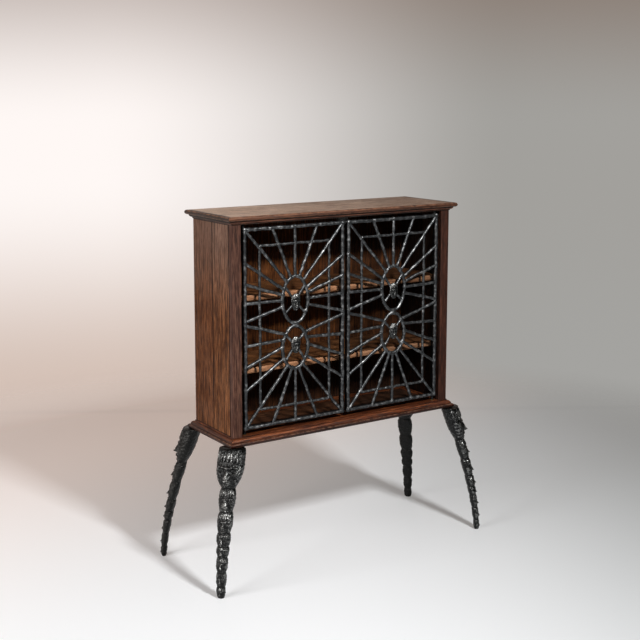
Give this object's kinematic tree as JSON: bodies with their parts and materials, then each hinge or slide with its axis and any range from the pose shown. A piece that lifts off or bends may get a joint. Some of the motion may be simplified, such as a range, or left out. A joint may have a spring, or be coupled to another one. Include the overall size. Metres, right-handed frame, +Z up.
{
  "type": "display cabinet",
  "caption": "Shallow oak display cabinet with shelves, carried on splayed cast legs of stacked masks, with a pair of pivoting wrought lattice doors.",
  "frame": {"origin": "on the floor under the middle of the carcass", "axes": "+Z up, +X to the right seen from the front, front faces -Y"},
  "size_m": [1.237, 0.4916, 1.363],
  "materials": {
    "carcass_oak": "dark brushed oak, waxed",
    "moulding_oak": "dark red brown oak, worn edges",
    "top_oak": "greyish brown oak with a dull sheen",
    "inner_oak": "warm brown oak, matt",
    "shelf_oak": "pale warm oak",
    "lattice_iron": "blackened, hand worked, low gloss highlights",
    "cast_mask": "blackened casting",
    "cast_leg": "black patinated casting with bright high spots",
    "steel": "plain",
    "brass": "turned"
  },
  "bodies": {
    "cabinet": {"base_board": "moulding_oak", "base_moulding": "moulding_oak", "floor_board": "inner_oak", "top_moulding": "moulding_oak", "top_board": "top_oak", "left_stile": "carcass_oak", "right_stile": "carcass_oak", "left_front_side_board": "carcass_oak", "right_front_side_board": "carcass_oak", "left_rear_side_board": "carcass_oak", "right_rear_side_board": "carcass_oak", "lower_shelf": "shelf_oak", "upper_shelf": "shelf_oak", "door_catch": "steel", "left_lower_bush": "brass", "right_lower_bush": "brass", "left_upper_bush": "brass", "right_upper_bush": "brass", "front_left_leg": "cast_leg", "front_right_leg": "cast_leg", "rear_left_leg": "cast_leg", "rear_right_leg": "cast_leg", "front_left_plate": "steel", "front_right_plate": "steel", "rear_left_plate": "steel", "rear_right_plate": "steel", "plate_screws": "steel", "back_screws": "steel", "back_board_1": "inner_oak", "back_board_2": "inner_oak", "back_board_3": "inner_oak", "back_board_4": "inner_oak", "back_board_5": "inner_oak", "back_board_6": "inner_oak"},
    "left_door": {"left_frame_rods": "lattice_iron", "left_frame_bars": "lattice_iron", "left_pivot_pins": "steel", "left_border_rods": "lattice_iron", "left_upper_rays": "lattice_iron", "left_lower_rays": "lattice_iron", "left_upper_ring": "lattice_iron", "left_lower_ring": "lattice_iron", "left_upper_arms": "lattice_iron", "left_lower_arms": "lattice_iron", "left_upper_mask": "cast_mask", "left_lower_mask": "cast_mask"},
    "right_door": {"right_frame_rods": "lattice_iron", "right_frame_bars": "lattice_iron", "right_pivot_pins": "steel", "right_border_rods": "lattice_iron", "right_upper_rays": "lattice_iron", "right_lower_rays": "lattice_iron", "right_upper_ring": "lattice_iron", "right_lower_ring": "lattice_iron", "right_upper_arms": "lattice_iron", "right_lower_arms": "lattice_iron", "right_upper_mask": "cast_mask", "right_lower_mask": "cast_mask"}
  },
  "joints": [
    {"name": "left_door_hinge", "type": "hinge", "parent": "cabinet", "child": "left_door", "pos_m": [-0.4422, -0.1273, 0.5778], "axis": [0, 0, -1], "range_deg": [0, 95]},
    {"name": "right_door_hinge", "type": "hinge", "parent": "cabinet", "child": "right_door", "pos_m": [0.4422, -0.1273, 0.5778], "axis": [0, 0, 1], "range_deg": [0, 95]}
  ]
}
